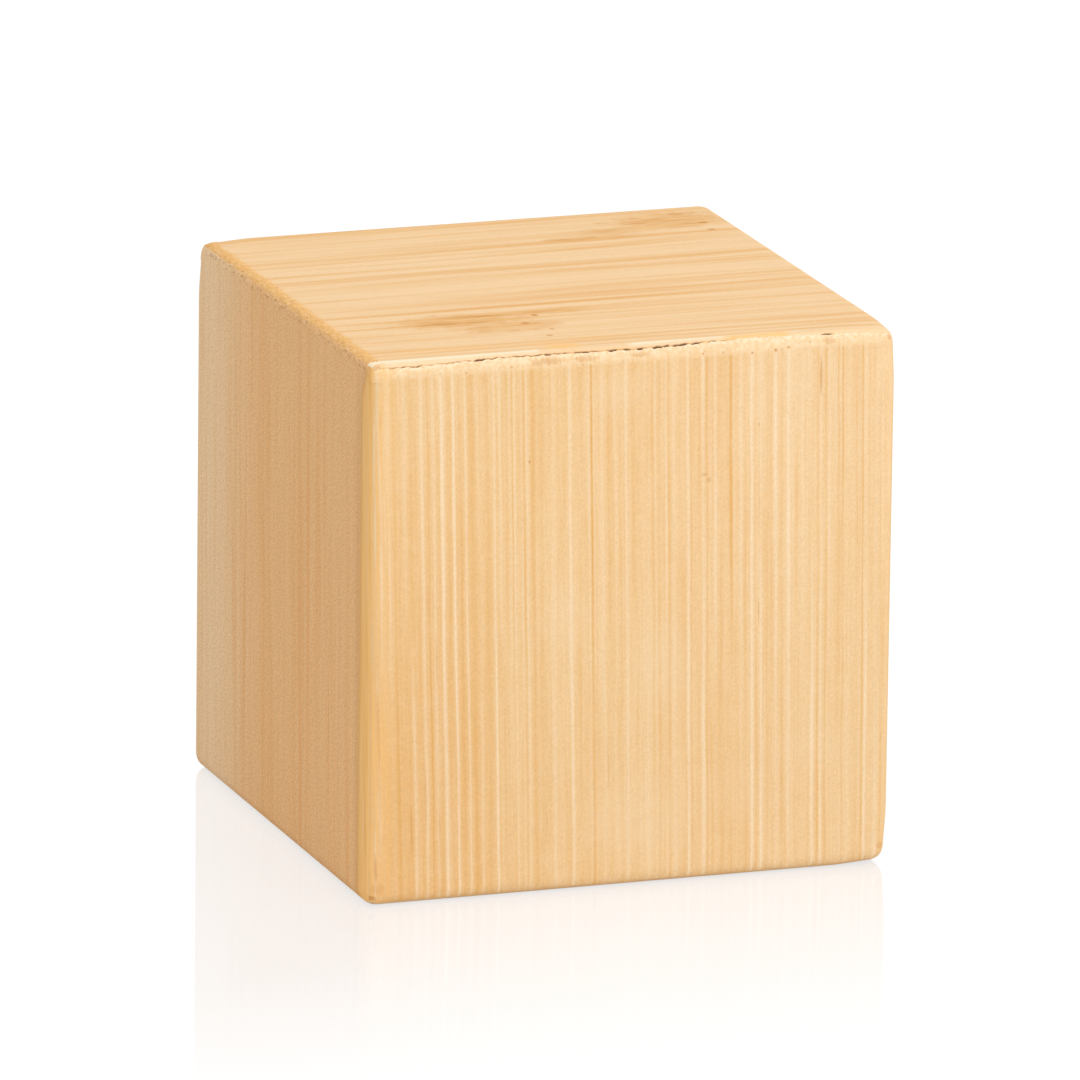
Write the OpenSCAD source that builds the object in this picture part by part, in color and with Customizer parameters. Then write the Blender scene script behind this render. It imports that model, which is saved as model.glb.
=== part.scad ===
// Cube of six bamboo boards, glued edge to edge with mitred joints into a closed
// hollow box, then rounded over along every edge and corner. The long grain runs
// up the four walls and across the top, and the joint between the top and the
// front has opened in a few short gaps.
// The cube stands on its bottom board: the origin is the middle of the underside,
// +Z is up and the front faces -Y.

/* [Cube] */
// Length of each side of the finished cube
side = 60; // [40:1:100]
// Thickness of the six boards
board_t = 6; // [4:0.5:12]
// Radius of the round-over along every edge and corner
edge_r = 2; // [0.5:0.1:3]

/* [Open joint] */
// Width of the gaps in the joint between the top and the front
gap_w = 0.4; // [0.1:0.05:0.8]
// Depth of those gaps, from the round-over in along the mitre
gap_depth = 0.9; // [0.2:0.1:2]

/* [Hidden] */
$fn = 96;

half = side / 2;
// The centre line of each round-over, from the middle of the cube
round_c = half - edge_r;
// The foot of each mitre, where the boards' inside faces meet
inner = half - board_t;
// The straight run of each edge, between its two rounded corners
straight = 2 * round_c;
// The line on the round-over where two boards meet, from the middle of the cube
joint_c = round_c + edge_r * cos(45);
// The open gaps: place of the middle as a share of the straight run from its left end, and length in mm
joint_gaps = [[0.02, 0.4], [0.06, 0.6], [0.34, 0.6], [0.46, 0.6], [0.51, 0.6], [0.55, 0.8], [0.59, 1.5]];
// Room past the surface for every cutter
past = 1;

bamboo = "#f5ce9b";

// Square with the cube's outline and its four rounded corners
module rounded_square() {
    square([side, straight], center = true);
    square([straight, side], center = true);
    for (x = [-1, 1], y = [-1, 1])
        translate([x * round_c, y * round_c])
            circle(edge_r);
}

// Section across one board: the outside face on top, a mitre at each end
module board_section() {
    intersection() {
        rounded_square();
        polygon([[-inner, inner], [inner, inner], [half, half], [-half, half]]);
    }
}

// What the round-over takes off at one corner, beyond the ball that is left
module corner_waste() {
    difference() {
        cube(edge_r + past);
        sphere(edge_r);
    }
}

// One board about the middle of the cube, lying flat with its outside face up
module mitred_board() {
    difference() {
        intersection() {
            rotate([90, 0, 0])
                linear_extrude(side, center = true)
                    board_section();
            rotate([90, 0, 90])
                linear_extrude(side, center = true)
                    board_section();
        }
        for (turn = [0:90:270])
            rotate([0, 0, turn])
                translate([round_c, round_c, round_c])
                    corner_waste();
    }
}

// The gaps along the joint between the top and the front, about the middle of the cube
module open_gaps() {
    for (gap = joint_gaps)
        translate([(gap[0] - 0.5) * straight, -joint_c, joint_c])
            rotate([45, 0, 0])
                cube([gap[1], gap_w, 2 * gap_depth], center = true);
}

// Moves what is built about the middle of the cube to stand on the ground
module stand() {
    translate([0, 0, half])
        children();
}

module top_board() {
    color(bamboo)
        stand()
            difference() {
                mitred_board();
                open_gaps();
            }
}

module bottom_board() {
    color(bamboo)
        stand()
            rotate([180, 0, 0])
                mitred_board();
}

module front_board() {
    color(bamboo)
        stand()
            difference() {
                rotate([90, 0, 0])
                    mitred_board();
                open_gaps();
            }
}

module back_board() {
    color(bamboo)
        stand()
            rotate([-90, 0, 0])
                mitred_board();
}

module left_board() {
    color(bamboo)
        stand()
            rotate([0, -90, 0])
                mitred_board();
}

module right_board() {
    color(bamboo)
        stand()
            rotate([0, 90, 0])
                mitred_board();
}

top_board();
bottom_board();
front_board();
back_board();
left_board();
right_board();
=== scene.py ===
"""Bamboo cube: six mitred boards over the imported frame, their finish, and a white studio."""

import math
import random

import bpy
import numpy as np
from bpy.props import FloatProperty, FloatVectorProperty, IntProperty, PointerProperty
from mathutils import Matrix, Vector, noise


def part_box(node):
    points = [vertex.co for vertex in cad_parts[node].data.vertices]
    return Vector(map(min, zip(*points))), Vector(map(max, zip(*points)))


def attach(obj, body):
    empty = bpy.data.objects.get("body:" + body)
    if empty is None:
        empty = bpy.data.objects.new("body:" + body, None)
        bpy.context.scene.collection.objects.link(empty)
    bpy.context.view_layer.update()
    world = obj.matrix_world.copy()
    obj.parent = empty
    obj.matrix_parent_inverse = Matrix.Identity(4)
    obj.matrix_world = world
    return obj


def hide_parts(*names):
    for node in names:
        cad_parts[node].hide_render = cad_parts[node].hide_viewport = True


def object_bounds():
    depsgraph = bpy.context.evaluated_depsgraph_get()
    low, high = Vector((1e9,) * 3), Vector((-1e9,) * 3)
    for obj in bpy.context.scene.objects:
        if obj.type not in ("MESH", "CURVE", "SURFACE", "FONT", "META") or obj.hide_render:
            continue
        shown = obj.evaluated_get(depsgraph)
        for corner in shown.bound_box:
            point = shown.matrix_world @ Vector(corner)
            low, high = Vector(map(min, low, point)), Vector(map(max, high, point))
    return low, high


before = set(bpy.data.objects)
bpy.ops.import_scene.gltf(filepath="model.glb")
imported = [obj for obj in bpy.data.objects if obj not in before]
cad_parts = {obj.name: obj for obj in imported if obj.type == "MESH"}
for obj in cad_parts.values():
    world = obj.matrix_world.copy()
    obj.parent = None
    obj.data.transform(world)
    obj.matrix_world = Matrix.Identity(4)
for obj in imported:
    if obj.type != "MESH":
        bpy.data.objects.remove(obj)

bl_info = {
    "name": "Bamboo Cube",
    "version": (1, 0, 0),
    "blender": (4, 5, 0),
    "location": "View3D > Sidebar > Bamboo Cube",
    "description": "Mitred bamboo boards glued into a cube, with their grain, open joint and studio",
    "category": "Object",
}

CAD_BOX = [list(corner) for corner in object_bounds()]
MM = 0.001

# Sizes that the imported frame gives
TOP_LOW, TOP_HIGH = (Vector(corner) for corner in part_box("top_board"))
SIDE = CAD_BOX[1][2] - CAD_BOX[0][2]
BOARD_T = TOP_HIGH.z - TOP_LOW.z
# The round-over takes this share of its radius off each end of a board, up to the mitre
ROUND_SHARE = 1 - math.cos(math.radians(45))
EDGE_R = (SIDE - (TOP_HIGH.x - TOP_LOW.x)) / 2 / ROUND_SHARE
SIDE_MM = SIDE / MM

# Edges shorter than this belong to a round-over and aren't divided
SHORTEST_RUN = 1.0 * MM
# Cuts along x, y and z: a few over the whole run, then many in each of its stretches
RUN_CUTS = ((3, 69), (3, 49), (3, 17))
# Edges sharper than this stay sharp in the shading
SHARP_ANGLE = math.radians(30)
# Points closer than this to a plane lie on it
FLAT = 1e-7
# Reach within which a mitre cut takes up the points that it passes
CUT_REACH = 1e-6

# Object that the boards are parted from
BLANK = "cube_blank"

# The way that each board's outside faces
OUTWARD = {
    "top_board": Vector((0, 0, 1)),
    "bottom_board": Vector((0, 0, -1)),
    "front_board": Vector((0, -1, 0)),
    "back_board": Vector((0, 1, 0)),
    "left_board": Vector((-1, 0, 0)),
    "right_board": Vector((1, 0, 0)),
}

# Corners that are worn softer than the rest, and the share of the full wear
WORN_CORNERS = [((1, -1, -1), 1.0), ((1, -1, 1), 0.8), ((-1, 1, 1), 1.0)]

# Open joint between top and front: middle as a share of the straight run, length in mm, share of full depth
JOINT_GAPS = [
    (0.011, 0.8, 0.3), (0.035, 0.5, 0.35), (0.049, 0.8, 0.4), (0.064, 0.6, 0.6), (0.14, 1.2, 0.3),
    (0.165, 0.5, 0.3), (0.187, 1.2, 0.5), (0.243, 4.6, 0.22), (0.301, 1.7, 0.35), (0.33, 1.2, 0.7),
    (0.385, 4.4, 0.36), (0.455, 0.8, 1.0), (0.484, 0.9, 0.6), (0.512, 0.8, 1.0), (0.545, 1.0, 1.1),
    (0.565, 0.7, 0.7), (0.592, 1.7, 1.2), (0.626, 1.5, 0.45), (0.68, 3.6, 0.28), (0.893, 1.3, 0.6),
]
# Hairline between those gaps: share of the straight run, and share of full depth
HAIRLINE = [(0.0, 0.0), (0.02, 0.2), (0.62, 0.26), (0.7, 0.08), (1.0, 0.05)]
# How far that joint strays towards the top: share of the straight run, and mm along the round-over
JOINT_STRAY = [
    (0.0, 0.0), (0.06, 0.0), (0.22, 0.35), (0.35, 0.28), (0.53, 0.17), (0.73, 0.55), (0.89, 0.3), (1.0, 0.1),
]

# Streaks: mm across the board, half width in mm, then tone near the first and near the far end of the
# fibres, where plus is pale and minus is golden or warm
FRONT_STREAKS = [
    (0.9, 0.3, 0.3, 0.0), (1.7, 0.28, 0.5, 0.2), (2.3, 0.3, -0.3, -0.7), (3.5, 0.35, 0.45, -0.2),
    (4.2, 0.3, -0.3, 0.5), (5.5, 0.35, 0.6, 0.6), (6.2, 0.16, -0.3, -0.9), (6.8, 0.3, 0.5, 0.6),
    (7.8, 0.36, 1.0, 0.95), (8.6, 0.3, -0.3, -0.2), (9.1, 0.3, 0.95, 0.9), (9.85, 0.3, -0.5, -0.3),
    (10.5, 0.2, 0.7, 0.55), (11.2, 0.5, -0.45, -0.5), (11.9, 0.3, 0.2, 0.25), (12.9, 0.5, -0.35, -0.3),
    (13.7, 0.22, 0.65, 0.95), (14.35, 0.25, 0.5, 0.15), (15.1, 0.2, -0.3, -0.1), (15.5, 0.16, 0.4, 0.1),
    (15.75, 0.12, -0.4, -0.1), (16.0, 0.2, 0.55, 0.4), (16.85, 0.16, 0.5, 0.2), (17.12, 0.14, -0.7, -0.35),
    (17.45, 0.16, 0.6, 0.55), (18.1, 0.45, -0.5, -0.3), (19.1, 0.3, -0.3, -0.1), (20.4, 0.5, 0.35, 0.45),
    (22.4, 0.3, 0.9, 0.75), (23.3, 0.4, 0.1, -0.1), (24.5, 0.14, 0.45, 0.3), (24.82, 0.16, -1.0, -0.7),
    (25.1, 0.12, 0.2, 0.1), (26.0, 0.4, 0.3, 0.2), (26.8, 0.4, -0.25, -0.1), (27.5, 0.3, 0.3, 0.15),
    (28.1, 0.3, -0.2, -0.2), (28.75, 0.3, 0.7, 0.6), (29.6, 0.4, -0.3, 0.0), (31.0, 0.6, 0.15, 0.3),
    (31.75, 0.2, -0.45, -0.2), (32.05, 0.16, 0.6, 0.2), (32.5, 0.3, -0.2, -0.3), (33.3, 0.16, 0.65, 0.2),
    (33.62, 0.14, -0.55, -0.4), (34.2, 0.5, 0.3, 0.4), (35.8, 0.28, 0.75, 0.95), (36.12, 0.13, -0.55, -0.6),
    (37.55, 0.3, 0.85, 1.0), (37.95, 0.16, -0.9, -0.6), (38.9, 0.3, 0.7, 0.2), (39.6, 0.4, -0.25, -0.35),
    (40.75, 0.24, -0.95, -0.35), (41.1, 0.12, 0.2, 0.0), (41.9, 0.25, 0.6, 0.15), (42.4, 0.2, -0.4, -0.5),
    (43.15, 0.26, 1.0, 1.0), (43.6, 0.12, -0.3, -0.5), (44.2, 0.26, 0.4, 1.0), (44.9, 0.3, -0.15, -0.2),
    (45.4, 0.14, -0.4, -0.2), (45.9, 0.3, 1.0, 0.45), (46.6, 0.3, -0.2, -0.25), (47.4, 0.34, 1.0, 0.5),
    (47.85, 0.2, 0.4, 0.4), (49.0, 0.4, 0.2, 0.1), (49.6, 0.3, 0.2, 0.0), (50.15, 0.28, -0.1, 1.0),
    (50.75, 0.2, -0.3, -0.5), (51.1, 0.26, 0.5, 1.0), (51.65, 0.16, -0.6, -0.3), (52.05, 0.2, 0.8, 0.1),
    (53.15, 0.16, -0.7, -0.15), (53.65, 0.14, -0.6, -0.4), (54.3, 0.4, 0.1, 0.25), (55.2, 0.4, -0.2, -0.15),
    (55.95, 0.14, -0.7, -0.7), (56.35, 0.26, 0.2, 1.0), (57.6, 0.4, 0.25, 0.5), (58.2, 0.3, 0.3, -0.3),
]
TOP_STREAKS = [
    (5.0, 1.2, 0.1, -0.1), (6.7, 0.75, 0.3, 0.1), (8.0, 0.6, -0.3, -0.3), (8.8, 0.52, 0.4, 0.3),
    (9.9, 0.6, -0.4, -0.8), (11.0, 0.6, 0.1, -0.3), (12.2, 0.6, 0.0, 0.2), (13.4, 1.6, -0.5, -0.6),
    (16.8, 1.2, 0.5, 0.5), (18.0, 1.05, 0.7, 0.2), (20.0, 0.75, -0.7, 0.0), (21.3, 0.83, 1.0, 0.7),
    (22.8, 1.1, -0.65, -0.4), (24.5, 0.9, 0.7, 0.6), (25.4, 0.6, 0.4, -0.2), (26.6, 0.75, -0.9, -0.2),
    (27.8, 0.6, -0.2, -0.5), (29.2, 0.75, 0.4, 0.6), (30.5, 0.6, 0.6, 0.4), (31.7, 0.6, -0.4, -0.4),
    (33.0, 0.75, 0.6, -0.8), (34.1, 0.6, 0.5, 0.4), (35.0, 0.6, -0.3, 0.3), (36.4, 0.75, 0.6, 0.4),
    (37.9, 0.75, 0.4, -0.1), (39.2, 0.75, -0.5, -0.7), (40.5, 0.75, 0.4, 0.5), (42.3, 0.75, -0.5, 0.2),
    (43.3, 0.9, 0.1, -0.6), (44.5, 0.75, -0.7, -0.2), (45.7, 0.75, 0.2, 0.9), (46.8, 0.45, 0.1, 0.1),
    (47.7, 0.6, -0.3, 0.5), (48.6, 0.6, 0.2, -0.4), (50.0, 0.9, -0.4, 0.1), (51.0, 0.45, -0.2, -0.3),
    (52.1, 0.75, 0.6, 0.4), (53.2, 0.6, 0.1, -0.2), (53.8, 0.45, -0.2, 0.4), (54.6, 0.6, -1.0, -0.9),
    (55.6, 0.45, 0.3, 0.3), (56.3, 0.38, -0.3, -0.6), (56.9, 0.38, 0.2, 0.3), (57.5, 0.38, -0.5, -0.7),
]
LEFT_STREAKS = [
    (5.6, 0.5, 0.1, 0.2), (7.4, 0.5, -0.1, 0.3), (8.5, 0.5, 0.4, 0.2), (10.4, 0.4, 0.3, 0.3),
    (12.9, 0.4, -0.1, 0.4), (14.9, 0.4, -0.3, -0.2), (16.0, 0.4, 0.5, 0.3), (18.4, 0.5, -0.2, -0.4),
    (19.8, 0.4, 0.4, 0.3), (20.9, 0.4, -0.3, 0.1), (22.2, 0.4, 0.3, 0.2), (24.0, 0.4, -0.2, -0.2),
    (25.6, 0.4, 0.2, 0.1), (26.7, 0.3, -0.3, -0.1), (27.5, 0.32, 0.9, 0.8), (28.5, 0.5, -0.5, -0.7),
    (30.4, 0.5, 0.2, 0.2), (31.4, 0.3, -0.3, -0.2), (32.1, 0.32, 0.7, 1.0), (33.4, 0.5, -0.3, -0.5),
    (34.8, 0.4, 0.1, 0.1), (36.1, 0.4, -0.3, -0.5), (38.5, 0.6, 0.7, 0.2), (40.5, 0.4, -0.6, 0.1),
    (42.0, 0.5, 0.4, 0.3), (43.4, 0.4, 0.3, -0.4), (44.4, 0.3, -0.4, 0.5), (45.2, 0.3, 0.6, -0.2),
    (46.3, 0.4, -0.2, -0.8), (47.4, 0.3, 0.4, 0.9), (48.2, 0.3, -0.3, -0.9), (49.0, 0.4, 0.1, 0.9),
    (50.1, 0.3, 0.2, -0.3), (51.0, 0.4, -0.3, 0.7), (51.7, 0.3, 0.4, 0.0), (52.9, 0.5, -0.6, -0.7),
    (54.0, 0.3, 0.2, 0.4), (54.7, 0.3, 0.4, -0.4), (55.6, 0.4, -0.5, -0.9),
]

# Marks: mm across and along the board, half width and half length in mm, and strength
FRONT_CRACKS = [
    (17.75, 11.8, 0.13, 0.2, 1.0), (38.2, 15.3, 0.35, 0.45, 0.5), (37.75, 14.7, 0.5, 0.22, 0.4),
    (51.1, 4.6, 0.17, 2.6, 0.75), (43.9, 30.3, 0.09, 1.6, 0.7), (6.9, 33.5, 0.1, 3.5, 0.4),
    (6.0, 26.5, 0.08, 3.0, 0.4), (6.9, 51.5, 0.1, 2.0, 0.4), (58.4, 57.9, 0.7, 0.5, 0.5),
    (59.2, 1.1, 0.5, 0.4, 0.7), (-1.3, 58.95, 0.9, 0.36, 1.0), (1.0, 6.0, 0.1, 1.0, 0.3),
    (26.4, 46.5, 0.1, 2.2, 0.45), (44.0, 9.6, 0.1, 0.25, 0.6), (19.3, 52.0, 0.09, 3.0, 0.3),
]
FRONT_GOLD = [
    (-0.55, 55.6, 0.2, 2.2, 1.0), (-0.3, 57.9, 0.9, 0.8, 0.6), (0.1, 40.0, 0.2, 5.0, 0.5),
    (3.6, 52.0, 0.16, 3.0, 0.7), (5.3, 48.0, 0.16, 4.0, 0.5),
]
FRONT_SMUDGES = [
    (20.0, 0.9, 2.2, 0.45, 0.6), (24.4, 0.9, 1.7, 0.35, 0.5), (30.6, 0.9, 1.4, 0.3, 0.5),
    (52.1, 0.9, 0.8, 0.4, 0.5),
    (37.6, 1.3, 0.16, 0.15, 1.0), (43.2, 1.6, 0.2, 0.18, 1.0), (45.9, 1.5, 0.2, 0.16, 1.0),
    (47.4, 1.3, 0.22, 0.16, 1.0), (10.8, 1.5, 0.14, 0.12, 0.8), (15.9, 1.2, 0.15, 0.14, 0.8),
]
FRONT_PATCHES = [
    (28.0, 4.6, 4.0, 2.8, 0.45), (22.0, 29.5, 3.6, 4.0, 0.45), (33.0, 35.5, 3.6, 5.5, 0.5),
    (30.0, 53.0, 7.0, 5.0, 0.5), (41.0, 50.0, 3.5, 4.0, 0.35), (50.0, 46.0, 5.0, 2.5, 0.3),
]
TOP_NODES = [
    (44.0, 16.0, 3.2, 9.0, 0.9), (47.5, 19.5, 2.6, 7.5, 0.75), (42.3, 26.5, 1.6, 5.5, 0.6),
    (8.0, 52.5, 4.2, 7.5, 0.8), (12.8, 42.0, 1.6, 6.5, 0.6), (10.5, 47.0, 2.0, 7.0, 0.5),
]
TOP_DOTS = [
    (43.8, 24.2, 0.5, 0.55, 0.8), (46.8, 22.1, 0.5, 0.6, 0.8), (50.0, 24.0, 0.35, 0.4, 0.6),
    (52.6, 22.8, 0.4, 0.45, 0.7), (42.3, 16.0, 0.6, 3.2, 0.35), (44.4, 12.0, 0.5, 3.6, 0.3),
    (10.0, 56.2, 0.5, 0.7, 0.8), (13.2, 56.0, 0.45, 0.6, 0.7), (5.5, 54.6, 0.7, 1.2, 0.4),
]
TOP_GOLD = [
    (57.4, 22.6, 1.5, 2.6, 1.0), (56.0, 21.0, 1.6, 2.6, 0.45), (54.6, 26.5, 0.8, 3.4, 0.4),
    (55.4, 10.0, 1.5, 9.0, 0.3),
]
TOP_FLECKS = [
    (13.0, 46.8, 0.35, 1.6, 0.7), (45.0, 19.0, 0.3, 1.2, 0.5), (51.5, 20.5, 0.5, 2.2, 0.5),
    (48.0, 27.0, 0.4, 1.4, 0.5), (52.0, 15.0, 0.6, 6.0, 0.3),
]


def length_value(name, description, default):
    """A length in metres that a user may change."""
    return FloatProperty(name=name, description=description, default=default, unit="LENGTH")


def angle_value(name, description, degrees):
    """An angle that a user may change."""
    return FloatProperty(
        name=name, description=description, default=math.radians(degrees), subtype="ANGLE")


def colour_value(name, description, default):
    """A colour that a user may change."""
    return FloatVectorProperty(
        name=name, description=description, default=default, subtype="COLOR", min=0, max=1)


class CubeSizes(bpy.types.PropertyGroup):
    """Sizes of the boards and of the mesh that shows them."""

    side: length_value("Side", "Length of each side of the cube", SIDE)
    board_t: length_value("Board thickness", "Thickness of the boards", BOARD_T)
    edge_r: length_value("Round-over", "Radius along every edge", EDGE_R)
    round_steps: IntProperty(
        name="Round-over steps", description="Rows of faces around one edge, an even number",
        default=64, min=4, max=96)
    round_profile: FloatProperty(
        name="Round-over profile", description="0.5 is a quarter circle, and more stands fuller",
        default=0.6, min=0.1, max=0.9)
    top_left_power: FloatProperty(
        name="Top left edge", description="Power of the curve over the top left edge, 2 for a round one",
        default=5.0, min=2, max=12)
    corner_reach: length_value("Corner reach", "How far from its tip a knocked corner is worn softer", 6 * MM)
    corner_wear: length_value("Corner wear", "How far the tip of a worn corner is pulled back", 0.35 * MM)
    gap_depth: length_value("Gap depth", "Depth of the deepest gaps in the open joint", 0.4 * MM)
    gap_half_width: length_value("Gap half width", "Half the width of the gaps at the surface", 0.085 * MM)
    fray: length_value("Fray", "Unevenness of the cut fibres along the joints of the top", 0.09 * MM)


class BambooFinish(bpy.types.PropertyGroup):
    """Colours and sheen of the sanded bamboo."""

    base: colour_value("Base", "Ground colour between the fibres", (0.885, 0.6, 0.31))
    warm: colour_value("Warm", "Golden tone that the ground drifts to", (0.84, 0.48, 0.185))
    pale: colour_value("Pale fibre", "Colour of the pale streaks", (0.96, 0.74, 0.49))
    golden: colour_value("Golden fibre", "Colour of the golden lines between the streaks", (0.8, 0.43, 0.13))
    gold_edge: colour_value(
        "Gold edge", "Cut fibres and corners that took up more finish", (1.0, 0.585, 0.215))
    # Cream also paints part of the highlight on the top's front round-over.
    cream: colour_value("Cream", "Bare cream fibres along the open joint", (0.97, 0.82, 0.58))
    node: colour_value("Culm node", "Brown of the culm nodes on the top", (0.64, 0.295, 0.085))
    brown: colour_value("Brown", "Dots, knots and cracks", (0.42, 0.185, 0.06))
    # Split: brown of the wood inside the open joint, deepened with painted shade where the gaps sink.
    split: colour_value("Split", "Inside of the open joint", (0.34, 0.18, 0.09))
    top_tone: colour_value("Top tone", "Tone of the top board against the front one", (0.97, 0.9, 0.81))
    # Left tone: partly the left board's own warmer colour, partly painted shade that darkens its side against
    # the front.
    left_tone_and_shade: colour_value("Left tone", "Tone of the left board against the front one", (0.96, 0.76, 0.565))
    roughness: FloatProperty(
        name="Roughness", description="Roughness of the sanded faces", default=0.6, min=0, max=1)
    specular: FloatProperty(
        name="Specular", description="Specular level of the sanded faces", default=0.0, min=0, max=1)


class CubeStudio(bpy.types.PropertyGroup):
    """Camera and lamps of the white studio."""

    azimuth: angle_value("Azimuth", "Turn of the camera about the cube, from the front", -19.56)
    elevation: angle_value("Elevation", "Height of the camera above the horizon", 14.84)
    roll: angle_value("Roll", "Turn of the camera about its own line of sight", 0.72)
    distance: length_value("Distance", "From the middle of the cube to the camera", 1.596)
    lift: length_value("Lift", "How far the camera is raised across its line of sight", 1.0 * MM)
    lens_mm: FloatProperty(
        name="Lens", description="Focal length on a 36 mm sensor, in millimetres", default=486.9)
    world_fill: FloatProperty(
        name="Room light", description="Strength of the even light from all round", default=0.745)
    key_power: FloatProperty(
        name="Front lamp", description="Power of the large lamp at the front right, in watts", default=4.65)
    top_power: FloatProperty(
        name="Top lamp", description="Power of the lamp overhead, in watts", default=1.05)


def settings():
    """The add-on's values as the scene holds them."""
    scene = bpy.context.scene
    return scene.cube_sizes, scene.bamboo_finish, scene.cube_studio


# Mesh helpers

def select_only(obj):
    """Leaves one object selected and active."""
    bpy.ops.object.select_all(action="DESELECT")
    obj.select_set(True)
    bpy.context.view_layer.objects.active = obj


def points_of(obj):
    """The object's vertices as an array of rows."""
    flat = np.empty(len(obj.data.vertices) * 3)
    obj.data.vertices.foreach_get("co", flat)
    return flat.reshape(-1, 3)


def move_points(obj, points):
    """Writes the object's vertices back."""
    obj.data.vertices.foreach_set("co", points.ravel())
    obj.data.update()


def clear_selection(mesh):
    """Deselects every point, edge and face."""
    for items in (mesh.vertices, mesh.edges, mesh.polygons):
        items.foreach_set("select", np.zeros(len(items), dtype=bool))


def select_runs(obj, axis):
    """Selects the straight edges that run along one axis, in edit mode."""
    bpy.ops.object.mode_set(mode="OBJECT")
    points = points_of(obj)
    ends = np.empty(len(obj.data.edges) * 2, dtype=np.int32)
    obj.data.edges.foreach_get("vertices", ends)
    span = np.abs(points[ends[0::2]] - points[ends[1::2]])
    across = [i for i in range(3) if i != axis]
    straight = span[:, across].max(axis=1) < FLAT
    long_run = span[:, axis] > SHORTEST_RUN
    clear_selection(obj.data)
    obj.data.edges.foreach_set("select", straight & long_run)
    bpy.ops.object.mode_set(mode="EDIT")
    bpy.ops.mesh.select_mode(type="EDGE")


def cube_blank(sizes):
    """The glued-up cube before it is parted: rounded over, gridded, with a crisp edge and worn corners."""
    bpy.ops.object.select_all(action="DESELECT")
    half = sizes.side / 2
    bpy.ops.mesh.primitive_cube_add(size=sizes.side, location=(0, 0, half))
    blank = bpy.context.object
    blank.name = BLANK
    bpy.ops.object.transform_apply(location=True, rotation=True, scale=True)
    bpy.ops.object.mode_set(mode="EDIT")
    bpy.ops.mesh.select_mode(type="EDGE")
    bpy.ops.mesh.select_all(action="SELECT")
    bpy.ops.mesh.bevel(offset=sizes.edge_r, segments=sizes.round_steps,
                       profile=sizes.round_profile, affect="EDGES")
    for axis, cuts in enumerate(RUN_CUTS):
        for number in cuts:
            select_runs(blank, axis)
            bpy.ops.mesh.subdivide(number_cuts=number)
    bpy.ops.object.mode_set(mode="OBJECT")
    crisp_edge(blank, "top_board", "left_board", sizes.top_left_power, sizes)
    for corner, share in WORN_CORNERS:
        wear_corner(blank, Vector(corner), share, sizes)
    return blank


def wear_corner(blank, corner, share, sizes):
    """Pulls the tip of one corner in, and less and less of the surface round it."""
    half = sizes.side / 2
    points = points_of(blank)
    tip = np.array(corner) * half + np.array((0, 0, half))
    nearest = int(((points - tip) ** 2).sum(axis=1).argmin())
    clear_selection(blank.data)
    blank.data.vertices[nearest].select = True
    bpy.ops.object.mode_set(mode="EDIT")
    bpy.ops.mesh.select_mode(type="VERT")
    bpy.ops.transform.translate(
        value=-corner.normalized() * sizes.corner_wear * share, use_proportional_edit=True,
        use_proportional_connected=False, proportional_edit_falloff="SMOOTH",
        proportional_size=sizes.corner_reach)
    bpy.ops.object.mode_set(mode="OBJECT")


def part_board(name, sizes):
    """Copies the cube blank and cuts one mitred board out of it."""
    blank = bpy.data.objects[BLANK]
    board = blank.copy()
    board.data = blank.data.copy()
    board.name = board.data.name = name + "_bamboo"
    bpy.context.collection.objects.link(board)
    select_only(board)
    half = sizes.side / 2
    middle = Vector((0, 0, half))
    outward = OUTWARD[name]
    cuts = [(middle + outward * (half - sizes.board_t), outward)]
    for other in OUTWARD.values():
        if abs(other.dot(outward)) < 0.5:
            cuts.append((middle, (outward - other).normalized()))
    bpy.ops.object.mode_set(mode="EDIT")
    for place, keep_side in cuts:
        bpy.ops.mesh.select_all(action="SELECT")
        bpy.ops.mesh.bisect(
            plane_co=place, plane_no=keep_side, use_fill=True, clear_inner=True, threshold=CUT_REACH)
    bpy.ops.object.mode_set(mode="OBJECT")
    return board


def past_round_lines(points, ways, sizes):
    """How far each point lies, along each way, past the centre lines of the round-overs."""
    half = sizes.side / 2
    middle = np.array((0, 0, half))
    return [(points - middle) @ way - (half - sizes.edge_r) for way in ways]


def joint_place(points, first, second, sizes):
    """Angle round a round-over from the second board's face to the first's, and what lies on it."""
    ways = np.array(OUTWARD[first]), np.array(OUTWARD[second])
    a, b = past_round_lines(points, ways, sizes)
    on_round = (a > -FLAT) & (b > -FLAT)
    return np.arctan2(a, b), on_round


def crisp_edge(blank, first, second, power, sizes):
    """Makes one round-over fuller, so that its edge stands sharper than the others."""
    points = points_of(blank)
    first_way, second_way = np.array(OUTWARD[first]), np.array(OUTWARD[second])
    a, b = past_round_lines(points, (first_way, second_way), sizes)
    edge_way = np.cross(first_way, second_way)
    past_end = np.maximum(*past_round_lines(points, (edge_way, -edge_way), sizes))
    angle = np.arctan2(a, b)
    fullness = np.abs(np.cos(angle)) ** power + np.abs(np.sin(angle)) ** power
    wanted = sizes.edge_r * fullness ** (-1 / power)
    swell = wanted / np.maximum(np.hypot(a, b), FLAT) - 1
    swell *= np.clip(1 - past_end / sizes.edge_r, 0, 1)
    swell = np.where((a > FLAT) & (b > FLAT), np.maximum(swell, 0), 0)
    points += (swell * a)[:, None] * first_way + (swell * b)[:, None] * second_way
    move_points(blank, points)


def mark_joint(board, label, first, second, sizes):
    """Keeps each point's distance from a joint, in millimetres along the round-over."""
    angle, on_round = joint_place(points_of(board), first, second, sizes)
    arc = np.abs(angle - math.pi / 4) * sizes.edge_r / MM
    away = math.pi / 4 * sizes.edge_r / MM
    mark = board.data.attributes.new(label, "FLOAT", "POINT")
    mark.data.foreach_set("value", np.where(on_round, arc, away))


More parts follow.
